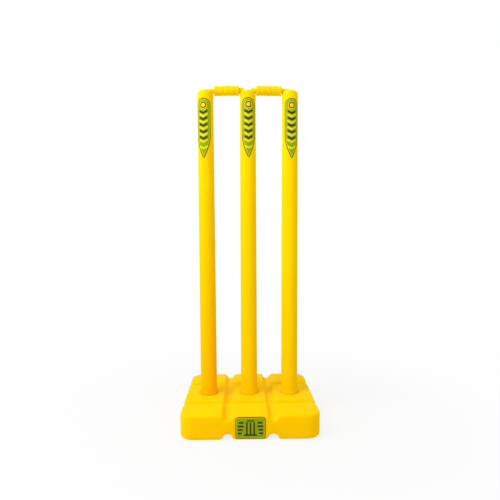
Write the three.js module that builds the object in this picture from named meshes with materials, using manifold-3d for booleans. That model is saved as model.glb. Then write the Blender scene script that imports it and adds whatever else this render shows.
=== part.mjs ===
// A moulded cricket wicket: three stumps in a hollow ballast base, with two bails on top.
// Millimetres, +Z up. The origin is on the ground under the middle of the base, and the front faces -Y.

import * as THREE from 'three';
import { mergeVertices } from 'three/addons/utils/BufferGeometryUtils.js';
import Module from 'manifold-3d';

// Base: a low block with rounded corners and edges
const baseWidth = 296;
const baseDepth = 290;
const baseHeight = 53;
const baseCornerRadius = 28;
const baseEdgeRadius = 6.2;
const baseWall = 3;

// Lengthwise channels, between the stumps, in the top and in the underside
const longChannelWidth = 30;
const longChannelDepth = 11.2;
const longChannelFloorRadius = 9.4;
const underChannelWidth = 34;
const underChannelDepth = 11.7;
const underChannelFloorRadius = 11;

// Cross channels, in the top only, in front of the stumps and behind them
const crossChannelWidth = 26;
const crossChannelDepth = 7.2;
const crossChannelFloorRadius = 6.5;
const crossChannelSpacing = 129;

// Shallow flutes in the sides, where the cross channels run out, which end at a height above the ground
const sideFluteWidth = 30;
const sideFluteDepth = 3.2;
const sideFluteFloorRadius = 16;
const sideFluteSpacing = 149;
const sideFluteEnd = 8;

// Sockets and the dished seats round their mouths
const socketFloorThickness = 3;
const seatDepth = 2;
const seatFlankRadius = 6;
const seatMargin = 0.6;

// Stumps, centre to centre across the wicket, and from the seat to the crown
const stumpSpacing = 95.25;
const stumpLength = 696.7;
const stumpFootRadius = 19;
const stumpShoulderRadius = 17.8;
const crownEdgeWidth = 12;
const crownEdgeHeight = 9.5;
const crownThickness = 13;
const stumpWall = 2.6;
const collarRadius = 21;
const collarHeight = 6;
const collarRounding = 1.8;
const spigotRadius = 17;
const spigotEndGap = 3.3;
const spigotChamfer = 2;
const spigotClearance = 0.4;

// The groove across each crown that the bails lie in
const bailGrooveRadius = 6.6;
const bailGrooveDepth = 6.7;

// Bails: a barrel with three rings, a short spigot inwards and a long one outwards
const barrelLength = 56;
const barrelRadius = 10.7;
const barrelEndRounding = 0.9;
const endRingLength = 7.4;
const middleRingLength = 8.8;
const ringGrooveDepth = 0.7;
const ringGrooveWidth = 1.2;
const shortSpigotLength = 11.6;
const shortSpigotRadius = 6.1;
const longSpigotLength = 18;
const longSpigotRootRadius = 5.3;
const longSpigotTipRadius = 4.8;
const spigotTipRounding = 1;

// Labels on the stumps and on the base
const labelThickness = 0.3;
const stumpLabelWidth = 32.4;
const stumpLabelHeight = 132;
const stumpLabelPointHeight = 38;
const stumpLabelTipWidth = 1.2;
const stumpLabelTopBelowCrown = 20;
const stumpLabelTurns = [-12, 3.5, 7];
const baseLabelWidth = 64;
const baseLabelHeight = 47;
const baseLabelCornerRadius = 4.5;

// Filler neck in the back of the base, and its bung
const fillerBoreRadius = 13;
const fillerNeckLength = 12;
const fillerRecessRadius = 18.8;
const fillerRecessDepth = 3.6;
const bungFlangeMargin = 0.5;
const bungPlugLength = 11;
const bungPlugWall = 2.4;
const bungPlugClearance = 0.3;
const bungPlugTaper = 0.5;
const bungFaceRounding = 0.8;
const bungDishRadius = 13.5;
const bungDishDepth = 1.8;
const bungGripWidth = 5;

// The gap between pieces that touch, and how far a cutting body runs past the piece it cuts
const restGap = 0.3;
const overrun = 1;

// How finely round shapes are drawn
const cornerSteps = 4;
const edgeSteps = 4;
const channelSteps = 3;
const insideSteps = 2;
const stumpSteps = 36;
const bailSteps = 28;
const boreSteps = 28;
const roundingSteps = 4;
const tipSteps = 2;
const labelColumns = 8;
const labelPointSteps = 7;

const wasm = await Module();
wasm.setup();

// Solids from geometries, and back

function toSolid(geometry) {
  const bare = geometry.clone();
  bare.deleteAttribute('normal');
  bare.deleteAttribute('uv');
  const merged = mergeVertices(bare);
  const corners = [];
  for (let i = 0; i < merged.index.count; i += 3) {
    const [a, b, c] = [0, 1, 2].map((k) => merged.index.getX(i + k));
    if (a !== b && b !== c && c !== a) corners.push(a, b, c);
  }
  const vertProperties = new Float32Array(merged.attributes.position.array);
  const triVerts = new Uint32Array(corners);
  return new wasm.Manifold(new wasm.Mesh({ numProp: 3, vertProperties, triVerts }));
}

function toGeometry(solid) {
  const mesh = solid.getMesh();
  const geometry = new THREE.BufferGeometry();
  geometry.setAttribute('position', new THREE.BufferAttribute(new Float32Array(mesh.vertProperties), 3));
  geometry.setIndex(new THREE.BufferAttribute(new Uint32Array(mesh.triVerts), 1));
  geometry.computeVertexNormals();
  return geometry;
}

const cutAll = (solid, cutters) => cutters.reduce((rest, cutter) => rest.subtract(cutter), solid);

// A quarter or part of a circle as profile points, angles in radians
function arcPoints(x, y, radius, from, to, steps = roundingSteps) {
  const points = [];
  for (let i = 0; i <= steps; i++) {
    const angle = THREE.MathUtils.lerp(from, to, i / steps);
    points.push(new THREE.Vector2(x + radius * Math.cos(angle), y + radius * Math.sin(angle)));
  }
  return points;
}

// A body turned about the Z axis from an outline of radius and height that runs upwards outside
function turned(outline, steps) {
  return new THREE.LatheGeometry(outline, steps).rotateX(Math.PI / 2);
}

const point = (radius, height) => new THREE.Vector2(radius, height);

// A plain round bar about the Z axis
function bar(radius, low, high) {
  return turned([point(0, low), point(radius, low), point(radius, high), point(0, high)], boreSteps);
}

// Base

// A block with rounded corners and edges, drawn in by an inset on every side
function roundedBlock(inset) {
  const width = baseWidth - 2 * baseEdgeRadius;
  const depth = baseDepth - 2 * baseEdgeRadius;
  const corner = baseCornerRadius - baseEdgeRadius;
  const edge = baseEdgeRadius - inset;
  const right = width / 2 - corner;
  const back = depth / 2 - corner;
  const plan = new THREE.Shape();
  plan.absarc(right, back, corner, 0, Math.PI / 2);
  plan.absarc(-right, back, corner, Math.PI / 2, Math.PI);
  plan.absarc(-right, -back, corner, Math.PI, 1.5 * Math.PI);
  plan.absarc(right, -back, corner, 1.5 * Math.PI, 2 * Math.PI);
  const block = new THREE.ExtrudeGeometry(plan, {
    depth: baseHeight - 2 * baseEdgeRadius,
    bevelThickness: edge,
    bevelSize: edge,
    bevelSegments: inset > 0 ? insideSteps : edgeSteps,
    curveSegments: cornerSteps,
  });
  return toSolid(block.translate(0, 0, baseEdgeRadius));
}

// The cross-section of a channel: a round floor that runs into a round lip on each side. Thickening the
// wall round it by an amount makes the floor's radius larger and the lips' smaller by as much.
function channelOutline(width, depth, floorRadius, wall) {
  const half = width / 2;
  const flank = 2 * Math.atan(depth / half);
  const bothRadii = half / Math.sin(flank);
  const floor = floorRadius + wall;
  const lip = bothRadii - floor;
  const outline = new THREE.Shape();
  outline.moveTo(half, wall + overrun);
  outline.absarc(half, -lip, lip, Math.PI / 2, Math.PI / 2 + flank);
  outline.absarc(0, floor - depth, floor, flank - Math.PI / 2, -flank - Math.PI / 2, true);
  outline.absarc(-half, -lip, lip, Math.PI / 2 - flank, Math.PI / 2);
  outline.lineTo(-half, wall + overrun);
  return outline;
}

// A body that fills a channel, along Y, with its mouth facing up at height 0
function channelBody(width, depth, floorRadius, wall, length) {
  const outline = channelOutline(width, depth, floorRadius, wall);
  const body = new THREE.ExtrudeGeometry(outline, {
    depth: length,
    bevelEnabled: false,
    curveSegments: wall > 0 ? insideSteps : channelSteps,
  });
  return body.rotateX(Math.PI / 2).translate(0, length / 2, 0);
}

// A side flute leans outwards towards its lower end, so that it gets shallower and ends above the ground
const fluteLean = Math.atan(sideFluteDepth / (baseHeight - sideFluteEnd));

// Every channel and flute of the base. With a wall, they are the ribs that these make inside the base.
function channelBodies(wall) {
  const bodies = [];
  for (const side of [-1, 1]) {
    const across = side * stumpSpacing / 2;
    const long = channelBody(
      longChannelWidth, longChannelDepth, longChannelFloorRadius, wall, baseDepth + 2 * overrun);
    const under = channelBody(
      underChannelWidth, underChannelDepth, underChannelFloorRadius, wall, baseDepth + 2 * overrun);
    const cross = channelBody(
      crossChannelWidth, crossChannelDepth, crossChannelFloorRadius, wall, baseWidth + 2 * overrun);
    bodies.push(long.translate(across, 0, baseHeight - wall));
    bodies.push(under.rotateY(Math.PI).translate(across, 0, wall));
    bodies.push(cross.rotateZ(Math.PI / 2).translate(0, side * crossChannelSpacing / 2, baseHeight - wall));
    for (const end of [-1, 1]) {
      const flute = channelBody(
        sideFluteWidth, sideFluteDepth, sideFluteFloorRadius, wall, 2 * baseHeight + 2 * overrun);
      flute.rotateX(Math.PI / 2 - fluteLean).rotateZ(end * Math.PI / 2);
      bodies.push(flute.translate(end * (baseWidth / 2 - wall), side * sideFluteSpacing / 2, baseHeight));
    }
  }
  return bodies.map(toSolid);
}

const socketRadius = spigotRadius + spigotClearance;
const seatRadius = collarRadius + seatMargin;
const seatHeight = baseHeight - seatDepth;
const flankAngle = Math.acos(1 - seatDepth / seatFlankRadius);
const mouthRadius = seatRadius + seatFlankRadius * Math.sin(flankAngle);

// What a socket and its dished seat take out of the base
function socketBody() {
  const flankCentre = baseHeight - seatFlankRadius;
  const outline = [
    point(0, socketFloorThickness),
    point(socketRadius, socketFloorThickness),
    point(socketRadius, seatHeight),
    ...arcPoints(mouthRadius, flankCentre, seatFlankRadius, Math.PI / 2 + flankAngle, Math.PI / 2),
    point(mouthRadius, baseHeight + overrun),
    point(0, baseHeight + overrun),
  ];
  return turned(outline, boreSteps);
}

// The wall round a socket and under its seat, which stands in the hollow
function socketPost() {
  const postRadius = socketRadius + baseWall;
  const outline = [
    point(0, 0),
    point(postRadius, 0),
    point(postRadius, seatHeight - baseWall),
    point(mouthRadius + baseWall, seatHeight - baseWall),
    point(mouthRadius + baseWall, baseHeight),
    point(0, baseHeight),
  ];
  return turned(outline, boreSteps);
}

const backFace = baseDepth / 2;
const fillerHeight = baseHeight / 2;
const recessFloor = backFace - fillerRecessDepth;
const neckEnd = recessFloor - fillerNeckLength;

// Turned bodies of the filler point along +Y, at the middle of the back face
const toFiller = (geometry) => geometry.rotateX(-Math.PI / 2).translate(0, 0, fillerHeight);

function baseShell() {
  const stumpPlaces = [-1, 0, 1].map((side) => side * stumpSpacing);
  const posts = stumpPlaces.map((x) => toSolid(socketPost().translate(x, 0, 0)));
  const boss = toSolid(toFiller(bar(fillerRecessRadius + baseWall, recessFloor - baseWall, backFace)));
  const neck = toSolid(toFiller(bar(fillerBoreRadius + baseWall, neckEnd, backFace)));
  const hollow = cutAll(roundedBlock(baseWall), [...channelBodies(baseWall), ...posts, boss, neck]);
  const sockets = stumpPlaces.map((x) => toSolid(socketBody().translate(x, 0, 0)));
  const recess = toSolid(toFiller(bar(fillerRecessRadius, recessFloor, backFace + overrun)));
  const bore = toSolid(toFiller(bar(fillerBoreRadius, neckEnd - overrun, backFace)));
  return cutAll(roundedBlock(0), [...channelBodies(0), hollow, ...sockets, recess, bore]);
}

// Filler bung: a flange that lies in the recess, a hollow plug, and a grip bar across a dished face

// The bung's face stands as far out of the back as the label stands out of the front
const labelProud = restGap + labelThickness;

function fillerBung() {
  const flangeRadius = fillerRecessRadius - bungFlangeMargin;
  const plugRadius = fillerBoreRadius - bungPlugClearance;
  const flangeSeat = recessFloor + restGap;
  const face = backFace + labelProud;
  const plugEnd = flangeSeat - bungPlugLength;
  const rim = flangeRadius - bungFaceRounding;
  const body = turned([
    point(0, flangeSeat),
    point(plugRadius - bungPlugWall, flangeSeat),
    point(plugRadius - bungPlugWall - bungPlugTaper, plugEnd),
    point(plugRadius - bungPlugTaper, plugEnd),
    point(plugRadius, flangeSeat),
    point(flangeRadius, flangeSeat),
    ...arcPoints(rim, face - bungFaceRounding, bungFaceRounding, 0, Math.PI / 2),
    point(0, face),
  ], boreSteps);
  const dish = toSolid(bar(bungDishRadius, face - bungDishDepth, face + overrun));
  const gripLength = 2 * bungDishRadius + 2 * overrun;
  const gripHeight = bungDishDepth + 2 * overrun;
  const grip = new THREE.BoxGeometry(gripLength, bungGripWidth, gripHeight);
  grip.translate(0, 0, face + overrun - gripHeight / 2);
  const solid = toSolid(body).subtract(dish.subtract(toSolid(grip)));
  return toFiller(toGeometry(solid));
}

// Stumps

const stumpFoot = seatHeight + restGap;
const crownTop = stumpFoot + stumpLength;
const stemFoot = stumpFoot + collarHeight;
const shoulder = crownTop - crownEdgeHeight;

// Radius of the stem at a height: it narrows evenly from the collar to the shoulder
function stemRadius(height) {
  const share = (height - stemFoot) / (shoulder - stemFoot);
  return THREE.MathUtils.lerp(stumpFootRadius, stumpShoulderRadius, share);
}

// One stump about the Z axis, hollow and open at its lower end, which stays clear of the socket's floor
function stump() {
  const lowEnd = socketFloorThickness + spigotEndGap;
  const hollowTop = crownTop - crownThickness;
  const boreAtTop = stemRadius(hollowTop) - stumpWall;
  const crownEdge = arcPoints(0, 0, 1, 0, Math.PI / 2).map((p) => point(
    stumpShoulderRadius - crownEdgeWidth * (1 - p.x), shoulder + crownEdgeHeight * p.y));
  const outline = [
    point(0, hollowTop),
    point(boreAtTop - stumpWall, hollowTop),
    point(boreAtTop, hollowTop - stumpWall),
    point(stemRadius(stemFoot) - 1.5 * stumpWall, stemFoot),
    point(spigotRadius - stumpWall, stumpFoot),
    point(spigotRadius - stumpWall, lowEnd),
    point(spigotRadius - spigotChamfer / 2, lowEnd),
    point(spigotRadius, lowEnd + spigotChamfer),
    point(spigotRadius, stumpFoot),
    point(collarRadius, stumpFoot),
    ...arcPoints(collarRadius - collarRounding, stemFoot - collarRounding, collarRounding, 0, Math.PI / 2),
    point(stumpFootRadius, stemFoot),
    ...crownEdge,
    point(0, crownTop),
  ];
  const grooveAxis = crownTop - bailGrooveDepth + bailGrooveRadius;
  const section = new THREE.Shape();
  section.absarc(0, 0, bailGrooveRadius, -Math.PI, 0);
  section.lineTo(bailGrooveRadius, bailGrooveDepth + overrun);
  section.lineTo(-bailGrooveRadius, bailGrooveDepth + overrun);
  const grooveLength = 2 * stumpFootRadius + 2 * overrun;
  const groove = new THREE.ExtrudeGeometry(section, {
    depth: grooveLength,
    bevelEnabled: false,
    curveSegments: edgeSteps,
  });
  groove.translate(0, 0, -grooveLength / 2).rotateX(Math.PI / 2).rotateZ(Math.PI / 2);
  groove.translate(0, 0, grooveAxis);
  return toGeometry(toSolid(turned(outline, stumpSteps)).subtract(toSolid(groove)));
}

// Bails

const barrelHalf = barrelLength / 2;

// The barrel's side from its middle to one end: half the middle ring, a swelling, and the end ring,
// with a shallow groove on each side of the swelling
function barrelSide() {
  const innerGroove = middleRingLength / 2 + ringGrooveWidth / 2;
  const outerGroove = barrelHalf - endRingLength - ringGrooveWidth / 2;
  const grooveRadius = barrelRadius - ringGrooveDepth;
  const rounding = barrelEndRounding;
  const grooveAt = (centre) => [
    point(barrelRadius, centre - ringGrooveWidth / 2),
    point(grooveRadius, centre),
    point(barrelRadius, centre + ringGrooveWidth / 2),
  ];
  return [
    ...grooveAt(innerGroove),
    ...grooveAt(outerGroove),
    ...arcPoints(barrelRadius - rounding, barrelHalf - rounding, rounding, 0, Math.PI / 2, tipSteps),
  ];
}

// A bail about the Z axis, with its short spigot up
function bail() {
  const side = barrelSide();
  const mirrored = side.map((p) => point(p.x, -p.y)).reverse();
  const shortEnd = barrelHalf + shortSpigotLength;
  const longEnd = -barrelHalf - longSpigotLength;
  const tip = (radius, end, from, to) => {
    const centre = end - Math.sign(end) * spigotTipRounding;
    return arcPoints(radius - spigotTipRounding, centre, spigotTipRounding, from, to, tipSteps);
  };
  return turned([
    point(0, longEnd),
    ...tip(longSpigotTipRadius, longEnd, -Math.PI / 2, 0),
    point(longSpigotRootRadius, -barrelHalf),
    ...mirrored,
    ...side,
    point(shortSpigotRadius, barrelHalf),
    ...tip(shortSpigotRadius, shortEnd, 0, Math.PI / 2),
    point(0, shortEnd),
  ], bailSteps);
}

// The bail lies on the groove's floor at the middle of each spigot, so it tips towards the thinner one
const longSpigotMiddleRadius = (longSpigotRootRadius + longSpigotTipRadius) / 2;
const shortRest = barrelHalf + shortSpigotLength / 2;
const longRest = barrelHalf + longSpigotLength / 2;
const bailTip = Math.atan((shortSpigotRadius - longSpigotMiddleRadius) / (shortRest + longRest));
const grooveFloor = crownTop - bailGrooveDepth;
const bailHeight = grooveFloor + restGap + shortSpigotRadius - shortRest * Math.tan(bailTip);

// Labels

// A thin plate from a list of rows, each a distance along it and half its width there, which are laid
// on a surface by a function of the distance across, the distance along and the share of the thickness
function labelPlate(rows, layOn) {
  const plate = new THREE.BoxGeometry(1, 1, 1, labelColumns, rows.length - 1, 1);
  const places = plate.attributes.position;
  const corner = new THREE.Vector3();
  for (let i = 0; i < places.count; i++) {
    corner.fromBufferAttribute(places, i);
    const row = rows[Math.round((corner.y + 0.5) * (rows.length - 1))];
    const laid = layOn(2 * corner.x * row.halfWidth, row.along, corner.z + 0.5);
    places.setXYZ(i, laid.x, laid.y, laid.z);
  }
  const bare = mergeVertices(plate.deleteAttribute('normal').deleteAttribute('uv'));
  bare.computeVertexNormals();
  return bare;
}

// Rows of a label with a point at the bottom and a half-round top
function stumpLabelRows() {
  const radius = stumpLabelWidth / 2;
  const tip = stumpLabelTipWidth / 2;
  const rows = [];
  for (let i = 0; i < labelPointSteps; i++) {
    const share = i / labelPointSteps;
    const halfWidth = THREE.MathUtils.lerp(tip, radius, share);
    rows.push({ along: share * stumpLabelPointHeight, halfWidth });
  }
  rows.push({ along: stumpLabelPointHeight, halfWidth: radius });
  for (const p of arcPoints(0, stumpLabelHeight - radius, radius, 0, Math.PI / 2, labelPointSteps)) {
    rows.push({ along: p.y, halfWidth: Math.max(p.x, tip) });
  }
  return rows;
}

function stumpLabel() {
  const low = crownTop - stumpLabelTopBelowCrown - stumpLabelHeight;
  return labelPlate(stumpLabelRows(), (across, along, share) => {
    const height = low + along;
    const ground = stemRadius(height) + restGap;
    const radius = ground + labelThickness * share;
    const angle = across / ground;
    return new THREE.Vector3(radius * Math.sin(angle), -radius * Math.cos(angle), height);
  });
}

// Rows of a rectangular label with rounded corners, measured from its middle
function baseLabelRows() {
  const half = baseLabelWidth / 2;
  const top = baseLabelHeight / 2 - baseLabelCornerRadius;
  const upper = arcPoints(half - baseLabelCornerRadius, top, baseLabelCornerRadius, 0, Math.PI / 2);
  const flatHalf = baseHeight / 2 - baseEdgeRadius;
  const rows = upper.map((p) => ({ along: p.y, halfWidth: p.x }));
  rows.unshift({ along: flatHalf, halfWidth: half });
  rows.sort((a, b) => a.along - b.along);
  const lower = rows.map((row) => ({ along: -row.along, halfWidth: row.halfWidth })).reverse();
  return [...lower, ...rows];
}

// The label lies on the flat front and runs a little way over the rounded edges above and below it
function baseLabel() {
  const flatHalf = baseHeight / 2 - baseEdgeRadius;
  return labelPlate(baseLabelRows(), (across, along, share) => {
    const proud = restGap + labelThickness * share;
    const past = Math.max(Math.abs(along) - flatHalf, 0);
    const angle = past / (baseEdgeRadius + restGap);
    const radius = baseEdgeRadius + proud;
    const flat = THREE.MathUtils.clamp(along, -flatHalf, flatHalf);
    const height = baseHeight / 2 + flat + Math.sign(along) * radius * Math.sin(angle);
    return new THREE.Vector3(across, -baseDepth / 2 + baseEdgeRadius - radius * Math.cos(angle), height);
  });
}

// Materials: glossy moulded plastic and printed film

const plastic = (color) => new THREE.MeshStandardMaterial({ color, roughness: 0.38, metalness: 0 });
const film = (color) => new THREE.MeshStandardMaterial({ color, roughness: 0.3, metalness: 0 });

const baseYellow = 0xfac800;
const stumpYellow = 0xfcc400;
const bailYellow = 0xf8ca04;
const bungYellow = 0xe0a800;
const labelGreen = 0x6f9a16;

// Assembly

const wicket = new THREE.Group();

function addPiece(name, geometry, material, holder = wicket) {
  const piece = new THREE.Mesh(geometry, material);
  piece.name = name;
  holder.add(piece);
  return piece;
}

addPiece('base_shell', toGeometry(baseShell()), plastic(baseYellow));
addPiece('filler_bung', fillerBung(), plastic(bungYellow));
addPiece('base_label', baseLabel(), film(labelGreen));

['left', 'middle', 'right'].forEach((name, i) => {
  const place = new THREE.Group();
  place.position.x = (i - 1) * stumpSpacing;
  wicket.add(place);
  addPiece(`${name}_stump`, stump(), plastic(stumpYellow), place);
  const label = addPiece(`${name}_stump_label`, stumpLabel(), film(labelGreen), place);
  label.rotation.z = THREE.MathUtils.degToRad(stumpLabelTurns[i]);
});

for (const [name, side] of [['left', -1], ['right', 1]]) {
  const place = new THREE.Group();
  place.position.set(side * stumpSpacing / 2, 0, bailHeight);
  place.rotation.z = side > 0 ? Math.PI : 0;
  wicket.add(place);
  const piece = addPiece(`${name}_bail`, bail(), plastic(bailYellow), place);
  piece.rotation.y = Math.PI / 2 - bailTip;
}

export default wicket;
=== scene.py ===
import math

import bmesh
import bpy
from mathutils import Matrix, Vector


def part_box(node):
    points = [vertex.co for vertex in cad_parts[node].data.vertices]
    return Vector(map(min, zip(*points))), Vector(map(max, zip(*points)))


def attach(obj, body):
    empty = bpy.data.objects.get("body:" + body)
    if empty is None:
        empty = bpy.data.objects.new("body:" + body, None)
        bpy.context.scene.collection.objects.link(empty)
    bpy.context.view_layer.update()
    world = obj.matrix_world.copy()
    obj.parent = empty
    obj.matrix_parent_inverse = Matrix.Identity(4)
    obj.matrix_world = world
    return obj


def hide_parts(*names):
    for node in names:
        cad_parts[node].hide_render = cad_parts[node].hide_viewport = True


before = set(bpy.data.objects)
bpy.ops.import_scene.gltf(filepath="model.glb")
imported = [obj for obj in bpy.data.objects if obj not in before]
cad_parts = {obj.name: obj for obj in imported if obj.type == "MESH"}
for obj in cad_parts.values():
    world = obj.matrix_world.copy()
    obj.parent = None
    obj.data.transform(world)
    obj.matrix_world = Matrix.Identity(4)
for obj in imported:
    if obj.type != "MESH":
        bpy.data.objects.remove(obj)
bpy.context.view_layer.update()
mm = 0.001

# The base: one hollow shell of blow-moulded polyethylene, weighed down with water or sand. Soft
# channels pinch its top into nine blocks and its underside into three, and each stump stands in a
# socket with a dished seat round its mouth.
up = Vector((0, 0, 1))
back = Vector((0, 1, 0))
right = Vector((1, 0, 0))

base_low, base_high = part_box("base_shell")
base_width = base_high.x - base_low.x
base_depth = base_high.y - base_low.y
base_height = base_high.z
base_middle = base_height / 2
base_corner_radius = 28 * mm
base_edge_radius = 6.2 * mm
base_flat_half = base_middle - base_edge_radius
base_side_lines = (14.7 * mm, 22.5 * mm, 30.5 * mm, 38.3 * mm)
base_colour = (0.97, 0.575, 0.001, 1)
base_deep_colour = (0.97, 0.55, 0.001, 1)
merge_distance = 1e-7

stump_spacing = 95.25 * mm
stump_places = (-stump_spacing, 0, stump_spacing)

# A channel's steps are the mesh lines round its lip and its floor, and its margin is the flat beside it
# up to the next line. The channels under the base need no lines of their own.
long_channel = {
    "width": 30 * mm, "depth": 11.2 * mm, "floor_radius": 9.4 * mm, "steps": 4, "margin": 3 * mm}
cross_channel = {
    "width": 26 * mm, "depth": 7.2 * mm, "floor_radius": 6.5 * mm, "steps": 4, "margin": 4 * mm}
side_flute = {
    "width": 30 * mm, "depth": 3.2 * mm, "floor_radius": 16 * mm, "steps": 3, "margin": 3 * mm}
under_channel = {"width": 34 * mm, "depth": 11.7 * mm, "floor_radius": 11 * mm}
long_channel_place = stump_spacing / 2
cross_channel_place = 64.5 * mm
side_flute_place = 74.5 * mm
side_flute_end = 8 * mm
side_flute_reach = 22 * mm

# A lip is a list of rings, each so far outside the bore and so far down from its mouth. A hold is how
# far from the mouth or the floor the next ring of the wall lies, which keeps the rounded corner tight.
seat_depth = 2 * mm
seat_radius = 21.6 * mm
seat_flank_radius = 6 * mm
seat_flank_steps = 4
seat_cells = 8
seat_patch = 29.6 * mm
seat_patch_reach = (seat_patch, seat_patch, 2 * mm)
socket_radius = 17.5 * mm
socket_lip = ((1.1 * mm, 0), (0.3 * mm, 0.2 * mm), (0, 0.8 * mm))
socket_lip_hold = 4 * mm
socket_floor = 3 * mm
socket_floor_hold = 2 * mm
socket_floor_round = 0.6 * mm
socket_floor_inset = 3 * mm

neck_patch_reach = (22.2 * mm, 0.5 * mm, base_flat_half)
neck_recess_radius = 19 * mm
neck_recess_depth = 3.6 * mm
neck_lip = ((0.7 * mm, 0), (0.1 * mm, 0.3 * mm), (0, 1 * mm))
neck_corner_rise = 0.4 * mm
neck_corner_inset = 0.5 * mm
neck_bore_radius = 13.1 * mm
neck_bore_length = 40 * mm
neck_bore_lip = ((0.7 * mm, 0), (0, 0.6 * mm), (0, 3 * mm))


def channel_curves(channel):
    """Half a channel's width, the radii of its lips and floor, and the angle at which they meet."""
    half = channel["width"] / 2
    flank = 2 * math.atan(channel["depth"] / half)
    return half, half / math.sin(flank) - channel["floor_radius"], channel["floor_radius"], flank


def channel_sink(channel, offset):
    """How far a channel's surface lies under the flat beside it, at an offset from its middle."""
    half, lip_radius, floor_radius, flank = channel_curves(channel)
    offset = abs(offset)
    if offset >= half:
        return 0
    if offset > floor_radius * math.sin(flank):
        return lip_radius - math.sqrt(lip_radius**2 - (half - offset) ** 2)
    return channel["depth"] - floor_radius + math.sqrt(floor_radius**2 - offset**2)


def channel_lines(channel, place):
    """Places of the mesh lines along a channel: even steps round its lips and its floor."""
    half, lip_radius, floor_radius, flank = channel_curves(channel)
    offsets = [half + channel["margin"], 0]
    for step in range(channel["steps"]):
        angle = flank * step / channel["steps"]
        offsets.append(half - lip_radius * math.sin(angle))
        offsets.append(floor_radius * math.sin(flank - angle))
    return sorted({place + offset for offset in offsets} | {place - offset for offset in offsets})


def flute_sink(place):
    """How far a place on the base's sides moves inwards, into a flute below a cross channel's end."""
    lean = side_flute["depth"] / (base_height - side_flute_end)
    sink = channel_sink(side_flute, abs(place.y) - side_flute_place) - (base_height - place.z) * lean
    inner = base_width / 2 - base_edge_radius - side_flute_reach
    share = min(max((abs(place.x) - inner) / side_flute_reach, 0), 1)
    return max(sink, 0) * share


def round_edges(shape, edges, radius, segments):
    """Rounds some edges of a shape."""
    bmesh.ops.bevel(shape, geom=edges, offset=radius, segments=segments, profile=0.5, affect="EDGES",
                    material=-1)


def cut_lines(shape, places, axis, above=-math.inf):
    """Cuts straight mesh lines across the faces above a height, each square to an axis at a place."""
    for place in places:
        faces = [face for face in shape.faces if face.calc_center_median().z > above]
        edges = list(dict.fromkeys(edge for face in faces for edge in face.edges))
        verts = list(dict.fromkeys(vert for face in faces for vert in face.verts))
        bmesh.ops.bisect_plane(shape, geom=verts + edges + faces, dist=merge_distance,
                               plane_co=axis * place, plane_no=axis)


def draw_ring(shape, ring, centre, axis, radius, along):
    """Draws an open ring of edges on, to a radius about an axis and a distance along it."""
    drawn = bmesh.ops.extrude_edge_only(shape, edges=ring)["geom"]
    for vert in drawn:
        if isinstance(vert, bmesh.types.BMVert):
            outward = vert.co - centre
            outward -= axis * outward.dot(axis)
            vert.co = centre + outward.normalized() * radius + axis * along
    return [edge for edge in drawn if isinstance(edge, bmesh.types.BMEdge)]


def round_mouth(shape, centre, axis, patch_reach, rings):
    """Opens a patch of mesh round a centre into a round mouth and draws it down through rings.

    The patch reaches so far from the centre along X, Y and Z. A ring is a radius and a distance along
    the axis. The first ring is the mouth, and the last one is closed by a floor."""
    patch = []
    for face in shape.faces:
        beside = face.calc_center_median() - centre
        if all(abs(distance) < reach for distance, reach in zip(beside, patch_reach)):
            patch.append(face)
    outline = [edge for face in patch for edge in face.edges
               if sum(other in patch for other in edge.link_faces) == 1]
    bmesh.ops.delete(shape, geom=patch, context="FACES")
    lie = axis.to_track_quat("Z", "Y").to_matrix().to_4x4()
    circle = bmesh.ops.create_circle(shape, segments=len(outline), radius=rings[0][0], cap_ends=False,
                                     matrix=Matrix.Translation(centre) @ lie)
    rim = list(dict.fromkeys(edge for vert in circle["verts"] for edge in vert.link_edges))
    ring = rim
    for radius, along in rings[1:]:
        ring = draw_ring(shape, ring, centre, axis, radius, along)
    bmesh.ops.edgeloop_fill(shape, edges=ring)
    spokes = bmesh.ops.bridge_loops(shape, edges=outline + rim)["edges"]
    bmesh.ops.subdivide_edges(shape, edges=spokes, cuts=1)


def add_piece(shape, name, body, nodes, materials, sharp_angle=180):
    """Makes a finished piece from a shape. It rides on its body and stands for its solids.

    Edges that fold by more than the sharp angle, in degrees, stay crisp."""
    mesh = bpy.data.meshes.new(name)
    shape.to_mesh(mesh)
    shape.free()
    mesh.shade_smooth()
    mesh.set_sharp_from_angle(angle=math.radians(sharp_angle))
    piece = bpy.data.objects.new(name, mesh)
    bpy.context.scene.collection.objects.link(piece)
    for material in materials:
        mesh.materials.append(material)
    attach(piece, body)
    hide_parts(*nodes)
    return piece


def subdivide(piece, levels):
    """Rounds a piece with a live subdivision surface."""
    rounding = piece.modifiers.new("rounding", "SUBSURF")
    rounding.levels = levels
    rounding.render_levels = levels


def add_node(owner, kind, **settings):
    """Adds one node to a material or a world and sets its options and its unlinked inputs.

    A setting that starts with in_ is an input, by its name or its number."""
    node = owner.node_tree.nodes.new(kind)
    for name, value in settings.items():
        if name.startswith("in_"):
            key = name[3:]
            node.inputs[int(key) if key.isdigit() else key.replace("_", " ")].default_value = value
        else:
            setattr(node, name, value)
    return node


def arithmetic(material, operation, *operands):
    """One step of arithmetic in a material, on outputs of its nodes and on plain numbers."""
    node = add_node(material, "ShaderNodeMath", operation=operation)
    for operand, socket in zip(operands, node.inputs):
        if isinstance(operand, bpy.types.NodeSocket):
            material.node_tree.links.new(operand, socket)
        else:
            socket.default_value = operand
    return node.outputs[0]


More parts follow.
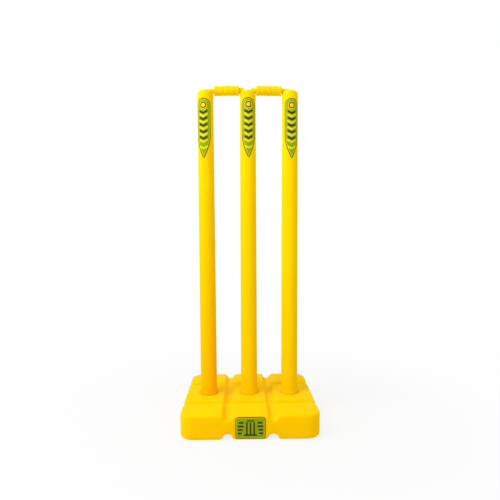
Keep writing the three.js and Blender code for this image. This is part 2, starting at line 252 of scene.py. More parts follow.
def moulded_plastic(name, colour, deep_colour, roughness, grain, softness, seam=None, fade=None):
    """Satin polyethylene: slow drifts of colour, a fine grain, faint waves, and a mould's parting line.

    The roughness is its least and its greatest value, the grain is the strength of the fine specks, and
    the softness is the share of light that spreads below the surface. The seam is an axis index and a
    place on it, where the halves of the mould meet. The fade is the colour at the lower end and the two
    heights between which it gives way to the other colours."""
    material = bpy.data.materials.new(name)
    material.use_nodes = True
    link = material.node_tree.links.new
    shader = material.node_tree.nodes["Principled BSDF"]
    shader.inputs["IOR"].default_value = 1.5
    shader.inputs["Specular IOR Level"].default_value = 0.012
    shader.inputs["Specular Tint"].default_value = (1, 0.8, 0.1, 1)
    shader.inputs["Subsurface Weight"].default_value = softness
    shader.inputs["Subsurface Radius"].default_value = (1, 0.7, 0.1)
    shader.inputs["Subsurface Scale"].default_value = 6 * mm
    place = add_node(material, "ShaderNodeTexCoord").outputs["Object"]
    split = add_node(material, "ShaderNodeSeparateXYZ")
    link(place, split.inputs["Vector"])

    drift = add_node(material, "ShaderNodeTexNoise", in_Scale=14, in_Detail=3, in_Roughness=0.55)
    link(place, drift.inputs["Vector"])
    tint = add_node(material, "ShaderNodeValToRGB")
    tint.color_ramp.elements[0].position = 0.38
    tint.color_ramp.elements[0].color = deep_colour
    tint.color_ramp.elements[1].position = 0.62
    tint.color_ramp.elements[1].color = colour
    link(drift.outputs["Fac"], tint.inputs["Fac"])
    # Painted shade: the colour gives way to the fade's colour towards the lower end.
    if fade:
        low_colour, low, high = fade
        rise = add_node(material, "ShaderNodeMapRange", in_From_Min=low, in_From_Max=high)
        link(split.outputs["Z"], rise.inputs["Value"])
        shade = add_node(material, "ShaderNodeMix", data_type="RGBA", in_6=low_colour)
        link(rise.outputs["Result"], shade.inputs[0])
        link(tint.outputs["Color"], shade.inputs[7])
        link(shade.outputs[2], shader.inputs["Base Color"])
    else:
        link(tint.outputs["Color"], shader.inputs["Base Color"])

    sheen = add_node(material, "ShaderNodeTexNoise", in_Scale=45, in_Detail=4, in_Roughness=0.6)
    link(place, sheen.inputs["Vector"])
    rough = add_node(material, "ShaderNodeMapRange", in_To_Min=roughness[0], in_To_Max=roughness[1])
    link(sheen.outputs["Fac"], rough.inputs["Value"])
    link(rough.outputs["Result"], shader.inputs["Roughness"])

    waves = add_node(material, "ShaderNodeTexNoise", in_Scale=26, in_Detail=1)
    link(place, waves.inputs["Vector"])
    broad = add_node(material, "ShaderNodeBump", in_Strength=0.15, in_Distance=0.5 * mm)
    link(waves.outputs["Fac"], broad.inputs["Height"])
    specks = add_node(material, "ShaderNodeTexNoise", in_Scale=900, in_Detail=2)
    link(place, specks.inputs["Vector"])
    surface = add_node(material, "ShaderNodeBump", in_Strength=grain, in_Distance=0.08 * mm)
    link(specks.outputs["Fac"], surface.inputs["Height"])
    link(broad.outputs["Normal"], surface.inputs["Normal"])
    if seam:
        axis, at = seam
        apart = arithmetic(material, "SUBTRACT", split.outputs[axis], at)
        distance = arithmetic(material, "ABSOLUTE", apart)
        line = add_node(material, "ShaderNodeMapRange", interpolation_type="SMOOTHSTEP",
                        in_From_Min=0, in_From_Max=0.5 * mm, in_To_Min=1, in_To_Max=0)
        link(distance, line.inputs["Value"])
        raised = add_node(material, "ShaderNodeBump", in_Strength=0.6, in_Distance=0.15 * mm)
        link(line.outputs["Result"], raised.inputs["Height"])
        link(surface.outputs["Normal"], raised.inputs["Normal"])
        surface = raised
    link(surface.outputs["Normal"], shader.inputs["Normal"])
    return material


base = bmesh.new()
bmesh.ops.create_cube(base, size=1)
bmesh.ops.scale(base, vec=(base_width, base_depth, base_height), verts=base.verts)
bmesh.ops.translate(base, vec=up * base_middle, verts=base.verts)
upright = [edge for edge in base.edges if edge.verts[0].co.z != edge.verts[1].co.z]
round_edges(base, upright, base_corner_radius, segments=8)
rims = [edge for edge in base.edges if edge.verts[0].co.z == edge.verts[1].co.z]
round_edges(base, rims, base_edge_radius, segments=4)

seat_lines = [seat_patch * (2 * cell / seat_cells - 1) for cell in range(seat_cells + 1)]
across = [place + line for place in stump_places for line in seat_lines]
along = list(seat_lines)
for side in (-1, 1):
    across += channel_lines(long_channel, side * long_channel_place)
    along += channel_lines(cross_channel, side * cross_channel_place)
    along += channel_lines(side_flute, side * side_flute_place)
cut_lines(base, sorted({round(place, 7) for place in across}), right)
cut_lines(base, sorted({round(place, 7) for place in along}), back)
cut_lines(base, base_side_lines, up)

# The channels have their full depth where the rounded edges start and fade out at half the height.
for vert in base.verts:
    lengthwise = channel_sink(long_channel, abs(vert.co.x) - long_channel_place)
    crosswise = channel_sink(cross_channel, abs(vert.co.y) - cross_channel_place)
    together = lengthwise + crosswise * (1 - lengthwise / long_channel["depth"])
    underneath = channel_sink(under_channel, abs(vert.co.x) - long_channel_place)
    level = min(max((vert.co.z - base_middle) / base_flat_half, -1), 1)
    vert.co.x -= math.copysign(flute_sink(vert.co), vert.co.x)
    vert.co.z -= together * level if level > 0 else underneath * level

seat_flank = math.acos(1 - seat_depth / seat_flank_radius)
seat_mouth = seat_radius + seat_flank_radius * math.sin(seat_flank)
seat_rings = []
for step in range(seat_flank_steps + 1):
    angle = seat_flank * step / seat_flank_steps
    seat_rings.append((seat_mouth - seat_flank_radius * math.sin(angle),
                       -seat_flank_radius * (1 - math.cos(angle))))
seat_rings += [(socket_radius + outside, -seat_depth - down) for outside, down in socket_lip]
seat_rings += [
    (socket_radius, -seat_depth - socket_lip_hold),
    (socket_radius, socket_floor + socket_floor_hold - base_height),
    (socket_radius - socket_floor_round, socket_floor - base_height),
    (socket_radius - socket_floor_inset, socket_floor - base_height)]
for x in stump_places:
    round_mouth(base, Vector((x, 0, base_height)), up, seat_patch_reach, seat_rings)

neck_rings = [(neck_recess_radius + outside, -down) for outside, down in neck_lip]
neck_rings += [
    (neck_recess_radius, -neck_recess_depth + neck_corner_rise),
    (neck_recess_radius - neck_corner_inset, -neck_recess_depth)]
neck_rings += [
    (neck_bore_radius + outside, -neck_recess_depth - down) for outside, down in neck_bore_lip]
neck_rings += [(neck_bore_radius, -neck_bore_length), (neck_bore_radius / 2, -neck_bore_length)]
round_mouth(base, Vector((0, base_depth / 2, base_middle)), back, neck_patch_reach, neck_rings)
bmesh.ops.recalc_face_normals(base, faces=base.faces)

base_yellow = moulded_plastic(
    "base_polyethylene", colour=base_colour, deep_colour=base_deep_colour,
    roughness=(0.45, 0.57), grain=0.25, softness=0.5, seam=(2, base_middle))
moulded_base = add_piece(base, "moulded_base", "base", ["base_shell"], [base_yellow])
subdivide(moulded_base, 1)

# The stumps: three hollow tubes of moulded polyethylene that narrow a little upwards. Each stands on a
# collar, plugs into its socket by a spigot, and has a half-round groove for the bails across its crown.
stump_names = ("left", "middle", "right")
crown_low, crown_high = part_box("middle_stump")
crown = crown_high.z
spigot_end = crown_low.z
seat_gap = 0.3 * mm
foot = base_height - seat_depth + seat_gap
foot_radius = 19 * mm
foot_round = 0.7 * mm
shoulder_radius = 17.8 * mm
crown_edge_width = 12 * mm
crown_edge_height = 9.5 * mm
crown_edge_steps = 10
crown_thickness = 13 * mm
stump_wall = 2.6 * mm
collar_radius = 21 * mm
collar_height = 6 * mm
collar_top_round = 1.8 * mm
collar_foot_round = 0.25 * mm
spigot_radius = 17 * mm
spigot_round = 1.2 * mm
groove_radius = 6.6 * mm
groove_depth = 6.7 * mm
groove_line_shares = (-1, -0.94, -0.82, -0.6, -0.32, 0, 0.32, 0.6, 0.82, 0.94, 1)
stump_segments = 64

# The square of a place on the groove's own edge may pass that of its radius by a rounding error.
groove_slack = 1e-12

# The red, green and blue in each stump's yellow. Painted shade: each stump is darker and more orange
# towards its foot and lighter towards its crown, for light that falls off downwards. The three differ
# a little, the left one most orange at its foot.
stump_foot_shade_red = 0.88
stump_foot_shade_greens = (0.45, 0.525, 0.535)
stump_crown_red = 0.98
stump_crown_greens = (0.67, 0.66, 0.69)
stump_deep_green_drop = 0.03
stump_blue = 0.001


def spun(outline, segments):
    """A body turned round the Z axis from an outline of radius and height, its open ends closed flat."""
    shape = bmesh.new()
    points = [shape.verts.new((radius, 0, height)) for radius, height in outline]
    edges = [shape.edges.new(pair) for pair in zip(points, points[1:])]
    bmesh.ops.spin(shape, geom=points + edges, cent=(0, 0, 0), axis=(0, 0, 1), angle=2 * math.pi,
                   steps=segments, use_merge=True)
    bmesh.ops.remove_doubles(shape, verts=shape.verts, dist=merge_distance)
    bmesh.ops.holes_fill(shape, edges=[edge for edge in shape.edges if edge.is_boundary])
    bmesh.ops.recalc_face_normals(shape, faces=shape.faces)
    return shape


def round_ring(shape, radius, height, rounding, segments):
    """Rounds the ring of edges at a radius and height of a turned body."""
    near = 0.01 * mm

    def on_ring(vert):
        return abs(vert.co.xy.length - radius) < near and abs(vert.co.z - height) < near

    ring = [edge for edge in shape.edges if all(on_ring(vert) for vert in edge.verts)]
    round_edges(shape, ring, rounding, segments)


stump_outline = [
    (shoulder_radius - 2 * stump_wall, crown - crown_thickness),
    (shoulder_radius - stump_wall, crown - crown_thickness - stump_wall),
    (foot_radius - 1.5 * stump_wall, foot + collar_height),
    (spigot_radius - stump_wall, foot),
    (spigot_radius - stump_wall, spigot_end),
    (spigot_radius, spigot_end),
    (spigot_radius, foot),
    (collar_radius, foot),
    (collar_radius, foot + collar_height),
    (foot_radius, foot + collar_height)]
for step in range(crown_edge_steps + 1):
    angle = math.radians(90 * step / crown_edge_steps)
    stump_outline.append((shoulder_radius - crown_edge_width * (1 - math.cos(angle)),
                          crown - crown_edge_height * (1 - math.sin(angle))))

crown_start = crown - crown_edge_height
groove_lines = [groove_radius * share for share in groove_line_shares]
groove_axis = crown - groove_depth + groove_radius

for name, x, foot_shade_green, green in zip(stump_names, stump_places, stump_foot_shade_greens, stump_crown_greens):
    stump = spun(stump_outline, stump_segments)
    round_ring(stump, collar_radius, foot + collar_height, collar_top_round, segments=4)
    round_ring(stump, foot_radius, foot + collar_height, foot_round, segments=3)
    round_ring(stump, collar_radius, foot, collar_foot_round, segments=2)
    round_ring(stump, spigot_radius, spigot_end, spigot_round, segments=3)
    cut_lines(stump, groove_lines, back, above=crown_start)
    for vert in stump.verts:
        inside = groove_radius**2 - vert.co.y**2
        if vert.co.z > crown_start and inside >= -groove_slack:
            vert.co.z = min(vert.co.z, groove_axis - math.sqrt(max(inside, 0)))
    bmesh.ops.translate(stump, vec=right * x, verts=stump.verts)
    # The fade is painted shade: darker and more orange towards the foot, for light that falls off
    # downwards.
    stump_yellow = moulded_plastic(
        f"{name}_stump_polyethylene", colour=(stump_crown_red, green, stump_blue, 1),
        deep_colour=(stump_crown_red, green - stump_deep_green_drop, stump_blue, 1),
        roughness=(0.41, 0.53), grain=0.2, softness=0.1, seam=(1, 0),
        fade=((stump_foot_shade_red, foot_shade_green, stump_blue, 1), base_height, crown))
    add_piece(stump, f"moulded_{name}_stump", f"{name}_stump", [f"{name}_stump"],
              [stump_yellow], sharp_angle=35)

# The bails: two small turned-looking mouldings. A barrel with three rings and two swellings lies
# between the stumps, with a short spigot towards the middle stump and a longer, thinner one outwards.
barrel_length = 56 * mm
ring_radius = 10.7 * mm
end_ring_length = 7.4 * mm
end_ring_round = 0.7 * mm
middle_ring_length = 8.8 * mm
middle_ring_round = 0.6 * mm
ring_round_steps = 3
swelling_radius = 10.35 * mm
swelling_round = 0.5 * mm
swelling_bulge = 0.3 * mm
ring_groove_depth = 0.75 * mm
ring_groove_width = 1.3 * mm
short_spigot_length = 11.6 * mm
short_spigot_radius = 6.1 * mm
long_spigot_length = 18 * mm
long_spigot_root_radius = 5.3 * mm
long_spigot_tip_radius = 4.8 * mm
bail_spigot_round = 1 * mm
bail_gap = 0.3 * mm
bail_segments = 56
bail_colour = (0.98, 0.66, 0.001, 1)
bail_deep_colour = (0.97, 0.62, 0.001, 1)


def ring_outline(low, high, radius, rounding):
    """One ring or swelling of the barrel with rounded shoulders, as points of radius and height."""
    points = []
    for step in range(ring_round_steps + 1):
        angle = math.radians(90 * step / ring_round_steps)
        points.append((radius - rounding * (1 - math.sin(angle)),
                       low + rounding * (1 - math.cos(angle))))
    return points + [(outward, low + high - height) for outward, height in reversed(points)]


barrel_half = barrel_length / 2
middle_ring_half = middle_ring_length / 2
swelling_low = middle_ring_half + ring_groove_width
swelling_high = barrel_half - end_ring_length - ring_groove_width
groove_floor_radius = ring_radius - ring_groove_depth
bulge = (swelling_radius + swelling_bulge, (swelling_low + swelling_high) / 2)
swelling = ring_outline(swelling_low, swelling_high, swelling_radius, swelling_round)
swelling.insert(len(swelling) // 2, bulge)
half_barrel = [
    (groove_floor_radius, middle_ring_half + ring_groove_width / 2),
    *swelling,
    (groove_floor_radius, swelling_high + ring_groove_width / 2),
    *ring_outline(barrel_half - end_ring_length, barrel_half, ring_radius, end_ring_round)]
short_spigot_end = barrel_half + short_spigot_length
long_spigot_end = -barrel_half - long_spigot_length
bail_outline = [
    (long_spigot_tip_radius, long_spigot_end),
    (long_spigot_root_radius, -barrel_half),
    *[(radius, -height) for radius, height in reversed(half_barrel)],
    *ring_outline(-middle_ring_half, middle_ring_half, ring_radius, middle_ring_round),
    *half_barrel,
    (short_spigot_radius, barrel_half),
    (short_spigot_radius, short_spigot_end)]

# Both spigots rest in the crowns' grooves, so the bail tips a little towards its thinner end.
short_rest = barrel_half + short_spigot_length / 2
long_rest = barrel_half + long_spigot_length / 2
long_spigot_radius = (long_spigot_root_radius + long_spigot_tip_radius) / 2
bail_tip = math.atan((short_spigot_radius - long_spigot_radius) / (short_rest + long_rest))
bail_height = crown - groove_depth + bail_gap + short_spigot_radius - short_rest * math.tan(bail_tip)
bail_yellow = moulded_plastic(
    "bail_polyethylene", colour=bail_colour, deep_colour=bail_deep_colour,
    roughness=(0.41, 0.53), grain=0.2, softness=0.3)

for name, side in (("left", -1), ("right", 1)):
    bail = spun(bail_outline, bail_segments)
    round_ring(bail, short_spigot_radius, short_spigot_end, bail_spigot_round, segments=3)
    round_ring(bail, long_spigot_tip_radius, long_spigot_end, bail_spigot_round, segments=3)
    laid = Matrix.Rotation(math.pi / 2 - bail_tip, 4, "Y")
    turned = Matrix.Rotation(math.pi if side > 0 else 0, 4, "Z")
    lifted = Matrix.Translation((side * stump_spacing / 2, 0, bail_height))
    bmesh.ops.transform(bail, matrix=lifted @ (turned @ laid), verts=bail.verts)
    add_piece(bail, f"ringed_{name}_bail", f"{name}_bail", [f"{name}_bail"],
              [bail_yellow], sharp_angle=40)

# The filler bung: a soft moulded plug pushed into the neck in the back of the base. A bar across its
# dished face gives the fingers a grip.
bung_gap = 0.3 * mm
bung_flange_radius = 18.3 * mm
bung_flange_round = 1 * mm
bung_plug_radius = 12.7 * mm
bung_plug_length = 11 * mm
bung_plug_taper = 0.5 * mm
bung_plug_wall = 2.4 * mm
bung_dish_radius = 13.5 * mm
bung_dish_depth = 1.8 * mm
bung_dish_flank = 0.8 * mm
bung_dish_round = 0.5 * mm
grip_width = 5 * mm
grip_root = 0.6 * mm
grip_round = 0.7 * mm
grip_sink = 0.05 * mm
bung_seat = base_depth / 2 - neck_recess_depth + bung_gap
bung_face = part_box("filler_bung")[1].y
bung_segments = 64
bung_colour = (0.85, 0.48, 0.004, 1)
bung_deep_colour = (0.82, 0.44, 0.003, 1)

plug_end = bung_seat - bung_plug_length
bung_outline = [
    (bung_plug_radius - bung_plug_wall, bung_seat),
    (bung_plug_radius - bung_plug_wall - bung_plug_taper, plug_end),
    (bung_plug_radius - bung_plug_taper, plug_end),
    (bung_plug_radius, bung_seat),
    (bung_flange_radius, bung_seat),
    (bung_flange_radius, bung_face),
    (bung_dish_radius + bung_dish_flank, bung_face),
    (bung_dish_radius, bung_face - bung_dish_depth)]
bung = spun(bung_outline, bung_segments)
round_ring(bung, bung_flange_radius, bung_face, bung_flange_round, segments=4)
round_ring(bung, bung_dish_radius + bung_dish_flank, bung_face, bung_dish_round, segments=3)
round_ring(bung, bung_dish_radius, bung_face - bung_dish_depth, bung_dish_round, segments=3)

# The bar's root reaches into the dish's flank and floor.
grip_height = bung_dish_depth + grip_root
grip = bmesh.ops.create_cube(bung, size=1)["verts"]
bmesh.ops.scale(bung, vec=(2 * bung_dish_radius + grip_root, grip_width, grip_height), verts=grip)
bmesh.ops.translate(bung, vec=up * (bung_face - grip_sink - grip_height / 2), verts=grip)
grip_edges = list(dict.fromkeys(edge for vert in grip for edge in vert.link_edges))
round_edges(bung, grip_edges, grip_round, segments=3)
face_back = Matrix.Translation((0, 0, base_middle)) @ Matrix.Rotation(-math.pi / 2, 4, "X")
bmesh.ops.transform(bung, matrix=face_back, verts=bung.verts)
bung_yellow = moulded_plastic(
    "bung_polyethylene", colour=bung_colour, deep_colour=bung_deep_colour,
    roughness=(0.5, 0.62), grain=0.35, softness=0.2)
add_piece(bung, "moulded_bung", "bung", ["filler_bung"], [bung_yellow], sharp_angle=35)

# The stump labels: printed film stuck round the front of each stump, with a rounded top, a bowed point
# at its foot, a thin dark outline and a plain printed pattern on a green field.
label_gap = 0.3 * mm
label_thickness = 0.3 * mm
label_unit = 10 * mm
stump_label_width = 32.4 * mm
stump_label_height = 130.6 * mm
stump_label_cap = 14 * mm
stump_label_cap_steps = 12
stump_label_point = 50 * mm
stump_label_point_steps = 10
stump_label_point_bow = 1.7
stump_label_tip = 1.2 * mm
stump_label_frame = (1.9 * mm, 1.2 * mm)
stump_label_columns = 16
stump_label_rows = 24
stump_label_tops = (crown - 21.3 * mm, crown - 20 * mm, crown - 21.8 * mm)
stump_label_turns = (-12, 3.5, 7)

ink_outline = (0.055, 0.03, 0.008, 1)
ink_margin = (0.78, 0.74, 0.01, 1)
ink_dark = (0.045, 0.03, 0.012, 1)
ink_yellow = (0.93, 0.66, 0.006, 1)
ink_green = (0.27, 0.45, 0.001, 1)
ink_deep_green = (0.21, 0.33, 0.001, 1)
ball_height = 11.55


def label_shape(outline, frame_widths):
    """A flat label from an outline, with a frame of each width drawn in along its edge."""
    shape = bmesh.new()
    field = shape.faces.new([shape.verts.new((x, y, 0)) for x, y in outline])
    field.normal_update()
    for index, width in enumerate(frame_widths):
        ring = bmesh.ops.inset_region(
            shape, faces=[field], thickness=width, use_boundary=True, use_even_offset=True)["faces"]
        for face in ring:
            face.material_index = index
    field.material_index = len(frame_widths)
    return shape


def thicken_label(shape):
    """Gives a flat label a second sheet for its top, and a map in centimetres from its own origin.

    What comes back is the layer that says whether a vertex is on the lower sheet, 0, or the top, 1."""
    sheet = shape.verts.layers.float.new("top")
    top = bmesh.ops.extrude_face_region(shape, geom=shape.faces[:], use_keep_orig=True)["geom"]
    for vert in top:
        if isinstance(vert, bmesh.types.BMVert):
            vert[sheet] = 1
    chart = shape.loops.layers.uv.new("print")
    for face in shape.faces:
        for loop in face.loops:
            loop[chart].uv = loop.vert.co.xy / label_unit
    return sheet


def printed_film(name, colour):
    """Printed film: ink under a thin clear coat, with a faint ripple."""
    material = bpy.data.materials.new(name)
    material.use_nodes = True
    link = material.node_tree.links.new
    shader = material.node_tree.nodes["Principled BSDF"]
    shader.inputs["Base Color"].default_value = colour
    shader.inputs["Specular IOR Level"].default_value = 0.05
    shader.inputs["Coat Weight"].default_value = 0.02
    shader.inputs["Coat Roughness"].default_value = 0.25
    place = add_node(material, "ShaderNodeTexCoord")
    dots = add_node(material, "ShaderNodeTexNoise", in_Scale=300, in_Detail=2)
    link(place.outputs["Object"], dots.inputs["Vector"])
    rough = add_node(material, "ShaderNodeMapRange", in_To_Min=0.25, in_To_Max=0.4)
    link(dots.outputs["Fac"], rough.inputs["Value"])
    link(rough.outputs["Result"], shader.inputs["Roughness"])
    ripple = add_node(material, "ShaderNodeBump", in_Strength=0.2, in_Distance=0.05 * mm)
    link(dots.outputs["Fac"], ripple.inputs["Height"])
    link(ripple.outputs["Normal"], shader.inputs["Normal"])
    return material


def print_patterns(material, ground, deep_ground, patterns):
    """Prints coloured patterns over a ground that clouds between two colours.

    Each pattern is a colour and a function that makes its mask from two coordinates in centimetres:
    aside, the distance from the label's middle line, and upwards, the height above its origin."""
    link = material.node_tree.links.new
    chart = add_node(material, "ShaderNodeUVMap", uv_map="print")
    split = add_node(material, "ShaderNodeSeparateXYZ")
    link(chart.outputs["UV"], split.inputs["Vector"])
    aside = arithmetic(material, "ABSOLUTE", split.outputs["X"])
    upwards = split.outputs["Y"]
    cloud = add_node(material, "ShaderNodeTexNoise", in_Scale=2.5, in_Detail=4)
    link(chart.outputs["UV"], cloud.inputs["Vector"])
    shade = add_node(material, "ShaderNodeMix", data_type="RGBA", in_6=ground, in_7=deep_ground)
    link(cloud.outputs["Fac"], shade.inputs[0])
    result = shade.outputs[2]
    for colour, make_mask in patterns:
        layer = add_node(material, "ShaderNodeMix", data_type="RGBA", in_7=colour)
        link(make_mask(material, aside, upwards), layer.inputs[0])
        link(result, layer.inputs[6])
        result = layer.outputs[2]
    link(result, material.node_tree.nodes["Principled BSDF"].inputs["Base Color"])


def band(material, coordinate, middle, half_width):
    """A mask that is 1 within a half width of a value of a coordinate."""
    return arithmetic(material, "COMPARE", coordinate, middle, half_width)


def both(material, first, second):
    """A mask that is 1 where two masks are."""
    return arithmetic(material, "MULTIPLY", first, second)


def chevrons(low, high, pitch, half_width, start, reach, slope=0.55):
    """Rows of chevrons that point down, between two heights, out to a reach from the middle."""
    def make_mask(material, aside, upwards):
        sloped = arithmetic(material, "MULTIPLY", aside, slope)
        slanted = arithmetic(material, "SUBTRACT", upwards, sloped)
        lifted = arithmetic(material, "ADD", slanted, start)
        row = arithmetic(material, "FLOORED_MODULO", lifted, pitch)
        stripes = band(material, row, pitch / 2, half_width)
        rows = band(material, slanted, (low + high) / 2, (high - low) / 2)
        return both(material, stripes, both(material, rows, band(material, aside, 0, reach)))
    return make_mask


def ball(height, outer, inner=0):
    """A round disc, or a ring if it has an inner radius, at a height on the middle line."""
    def make_mask(material, aside, upwards):
        link = material.node_tree.links.new
        spot = add_node(material, "ShaderNodeCombineXYZ")
        link(aside, spot.inputs["X"])
        link(arithmetic(material, "SUBTRACT", upwards, height), spot.inputs["Y"])
        radius = add_node(material, "ShaderNodeVectorMath", operation="LENGTH")
        link(spot.outputs["Vector"], radius.inputs[0])
        return band(material, radius.outputs["Value"], (outer + inner) / 2, (outer - inner) / 2)
    return make_mask


def stem_radius(height):
    """The stem's radius at a height."""
    stem_foot = foot + collar_height
    share = (height - stem_foot) / (crown_start - stem_foot)
    return foot_radius + (shoulder_radius - foot_radius) * share


outline_ink = printed_film("label_outline_ink", ink_outline)
margin_ink = printed_film("label_margin_ink", ink_margin)
stump_field_ink = printed_film("stump_label_field_ink", ink_green)
print_patterns(stump_field_ink, ink_green, ink_deep_green, [
    (ink_yellow, chevrons(low=1.4, high=10.4, pitch=1.4, half_width=0.2, start=0, reach=1)),
    (ink_dark, chevrons(low=3.5, high=10.5, pitch=1.4, half_width=0.23, start=0.7, reach=0.9)),
    (ink_yellow, ball(height=ball_height, outer=0.85)),
    (ink_dark, ball(height=ball_height, outer=0.7, inner=0.45))])

label_half = stump_label_width / 2
tip_half = stump_label_tip / 2
cap_foot = stump_label_height - stump_label_cap
right_side = []
for step in range(stump_label_point_steps + 1):
    share = step / stump_label_point_steps
    bow = (label_half - tip_half) * (1 - share) ** stump_label_point_bow
    right_side.append((label_half - bow, stump_label_point * share))
for step in range(stump_label_cap_steps + 1):
    angle = math.radians(90 * step / stump_label_cap_steps)
    right_side.append((label_half * math.cos(angle), cap_foot + stump_label_cap * math.sin(angle)))
stump_label_outline = right_side + [(-x, y) for x, y in reversed(right_side[:-1])]
column_lines = [stump_label_width * column / stump_label_columns - label_half
                for column in range(1, stump_label_columns)]
row_lines = [stump_label_height * row / stump_label_rows for row in range(1, stump_label_rows)]

for name, x, turn, top in zip(stump_names, stump_places, stump_label_turns, stump_label_tops):
    label = label_shape(stump_label_outline, stump_label_frame)
    cut_lines(label, column_lines, right)
    cut_lines(label, row_lines, back)
    sheet = thicken_label(label)
    for vert in label.verts:
        height = top - stump_label_height + vert.co.y
        ground = stem_radius(height) + label_gap
        angle = vert.co.x / ground + math.radians(turn)
        radius = ground + label_thickness * vert[sheet]
        vert.co = Vector((x + radius * math.sin(angle), -radius * math.cos(angle), height))
    bmesh.ops.recalc_face_normals(label, faces=label.faces)
    add_piece(label, f"printed_{name}_label", f"{name}_stump", [f"{name}_stump_label"],
              [outline_ink, margin_ink, stump_field_ink], sharp_angle=40)

# The base label: the same printed film, a rounded rectangle stuck on the middle of the base's front.
# It runs a little way over the rounded edges above and below.
base_label_width = 62 * mm
base_label_height = 46.4 * mm
base_label_corner = 6.5 * mm
base_label_corner_steps = 6
base_label_frame = (1.7 * mm, 0.7 * mm)
base_label_row_shares = (-1.12, -1.06, -1, -0.5, 0, 0.5, 1, 1.06, 1.12)
base_label_column_shares = (-0.66, -0.33, 0, 0.33, 0.66)
base_ink_green = (0.27, 0.37, 0.001, 1)
base_ink_deep_green = (0.21, 0.3, 0.001, 1)

# A small wicket of three uprights, two bails and a ground line, with four bars at each side of it.
# Each bar is its middle and half width across, then its middle and half height upwards, in centimetres.
pictogram = (
    (0, 0.16, -0.1, 1.3), (0.75, 0.16, -0.1, 1.3), (0.4, 0.36, 1.5, 0.15), (0, 1.35, -1.5, 0.17),
    (1.95, 0.5, 1.1, 0.19), (2, 0.6, 0.35, 0.19), (2.1, 0.5, -0.4, 0.19), (2.2, 0.4, -1.15, 0.19))


def bar(middle_across, half_across, middle_up, half_up):
    """A rectangle, mirrored to both sides of the middle line."""
    def make_mask(material, aside, upwards):
        columns = band(material, aside, middle_across, half_across)
        return both(material, columns, band(material, upwards, middle_up, half_up))
    return make_mask


base_field_ink = printed_film("base_label_field_ink", ink_green)
print_patterns(base_field_ink, base_ink_green, base_ink_deep_green,
               [(ink_dark, bar(*sizes)) for sizes in pictogram])

half_across = base_label_width / 2
half_up = base_label_height / 2
base_label_outline = []
for to_right, to_top, start in ((1, 1, 0), (-1, 1, 90), (-1, -1, 180), (1, -1, 270)):
    for step in range(base_label_corner_steps + 1):
        angle = math.radians(start + 90 * step / base_label_corner_steps)
        base_label_outline.append((
            to_right * (half_across - base_label_corner) + base_label_corner * math.cos(angle),
            to_top * (half_up - base_label_corner) + base_label_corner * math.sin(angle)))

label = label_shape(base_label_outline, base_label_frame)
cut_lines(label, [base_flat_half * share for share in base_label_row_shares], back)
cut_lines(label, [half_across * share for share in base_label_column_shares], right)
sheet = thicken_label(label)
for vert in label.verts:
    across_front, up_front = vert.co.x, vert.co.y
    flat = min(max(up_front, -base_flat_half), base_flat_half)
    angle = abs(up_front - flat) / (base_edge_radius + label_gap)
    radius = base_edge_radius + label_gap + label_thickness * vert[sheet]
    vert.co = Vector((across_front, -base_depth / 2 + base_edge_radius - radius * math.cos(angle),
                      base_middle + flat + math.copysign(radius * math.sin(angle), up_front)))
bmesh.ops.recalc_face_normals(label, faces=label.faces)
add_piece(label, "printed_base_label", "base", ["base_label"],
          [outline_ink, margin_ink, base_field_ink], sharp_angle=40)

# The studio: a plain pale floor that keeps the wicket's soft shadow, one broad lamp from the upper
# left in front, a white surround, and the camera at the photograph's angle.
floor_reach = 20
floor_drop = 0.05 * mm
floor_colour = (0.72, 0.72, 0.72, 1)
floor_fade_start = 0.25
floor_fade_end = 0.8
floor_white_share = 0.82
ambient_light = 0.86
lamp_place = Vector((-1.13, -0.8, 1.6))
lamp_target = Vector((0, 0, 0.4))
lamp_size = 1.2
lamp_power = 22
camera_place = Vector((-0.01753, -1.04278, 0.41733))
camera_yaw, camera_pitch, camera_roll = 0.01995, 0.08624, -0.0047
camera_shift = 0.0537
picture_width = 500
focal_length_in_pixels = 449.4

floor = bmesh.new()
bmesh.ops.create_grid(floor, x_segments=1, y_segments=1, size=floor_reach)
floor_mesh = bpy.data.meshes.new("floor")
floor.to_mesh(floor_mesh)
floor.free()
floor_piece = bpy.data.objects.new("floor", floor_mesh)
floor_piece.location.z = -floor_drop
bpy.context.scene.collection.objects.link(floor_piece)

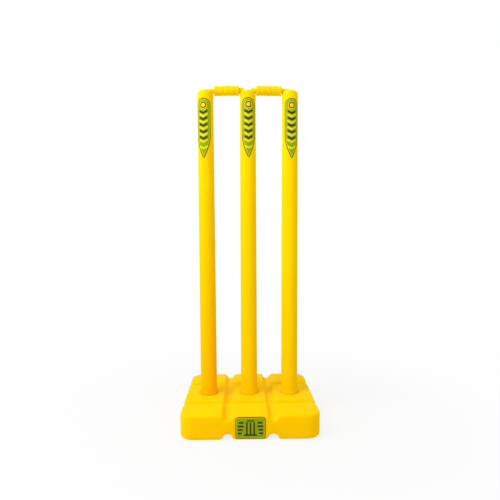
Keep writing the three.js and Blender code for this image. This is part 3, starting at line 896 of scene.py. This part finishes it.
# The camera sees the floor's paint give way to plain white with distance, and other rays see paint.
floor_paint = bpy.data.materials.new("pale_floor")
floor_paint.use_nodes = True
floor_link = floor_paint.node_tree.links.new
floor_shader = floor_paint.node_tree.nodes["Principled BSDF"]
floor_shader.inputs["Base Color"].default_value = floor_colour
floor_shader.inputs["Roughness"].default_value = 0.9
floor_shader.inputs["Specular IOR Level"].default_value = 0
floor_place = add_node(floor_paint, "ShaderNodeTexCoord")
floor_distance = add_node(floor_paint, "ShaderNodeVectorMath", operation="LENGTH")
floor_fade = add_node(floor_paint, "ShaderNodeMapRange", interpolation_type="SMOOTHSTEP",
                      in_From_Min=floor_fade_start, in_From_Max=floor_fade_end,
                      in_To_Min=floor_white_share, in_To_Max=1)
seen = add_node(floor_paint, "ShaderNodeLightPath")
white = add_node(floor_paint, "ShaderNodeEmission", in_Strength=1)
blend = add_node(floor_paint, "ShaderNodeMixShader")
floor_link(floor_place.outputs["Object"], floor_distance.inputs[0])
floor_link(floor_distance.outputs["Value"], floor_fade.inputs["Value"])
white_amount = arithmetic(
    floor_paint, "MULTIPLY", seen.outputs["Is Camera Ray"], floor_fade.outputs["Result"])
floor_link(white_amount, blend.inputs[0])
floor_link(floor_shader.outputs[0], blend.inputs[1])
floor_link(white.outputs[0], blend.inputs[2])
floor_link(blend.outputs[0], floor_paint.node_tree.nodes["Material Output"].inputs["Surface"])
floor_mesh.materials.append(floor_paint)

world = bpy.data.worlds.new("white_surround")
bpy.context.scene.world = world
world.use_nodes = True
surround = world.node_tree.nodes["Background"]
surround.inputs["Color"].default_value = (1, 1, 1, 1)
camera_ray = add_node(world, "ShaderNodeLightPath")
strength = add_node(world, "ShaderNodeMapRange", in_To_Min=ambient_light, in_To_Max=1)
world.node_tree.links.new(camera_ray.outputs["Is Camera Ray"], strength.inputs["Value"])
world.node_tree.links.new(strength.outputs["Result"], surround.inputs["Strength"])

lamp = bpy.data.lights.new("soft_lamp", "AREA")
lamp.shape = "DISK"
lamp.size = lamp_size
lamp.energy = lamp_power
lamp_holder = bpy.data.objects.new("soft_lamp", lamp)
lamp_holder.location = lamp_place
lamp_holder.rotation_euler = (lamp_place - lamp_target).to_track_quat("Z", "Y").to_euler()
bpy.context.scene.collection.objects.link(lamp_holder)

camera = bpy.data.cameras.new("camera")
camera.sensor_width = 36
camera.lens = focal_length_in_pixels * camera.sensor_width / picture_width
camera.shift_y = camera_shift
camera_holder = bpy.data.objects.new("camera", camera)
camera_holder.matrix_world = (
    Matrix.Translation(camera_place)
    @ Matrix.Rotation(-camera_yaw, 4, "Z")
    @ Matrix.Rotation(math.pi / 2 - camera_pitch, 4, "X")
    @ Matrix.Rotation(camera_roll, 4, "Z"))
bpy.context.scene.collection.objects.link(camera_holder)
bpy.context.scene.camera = camera_holder
bpy.context.scene.view_settings.view_transform = "Standard"
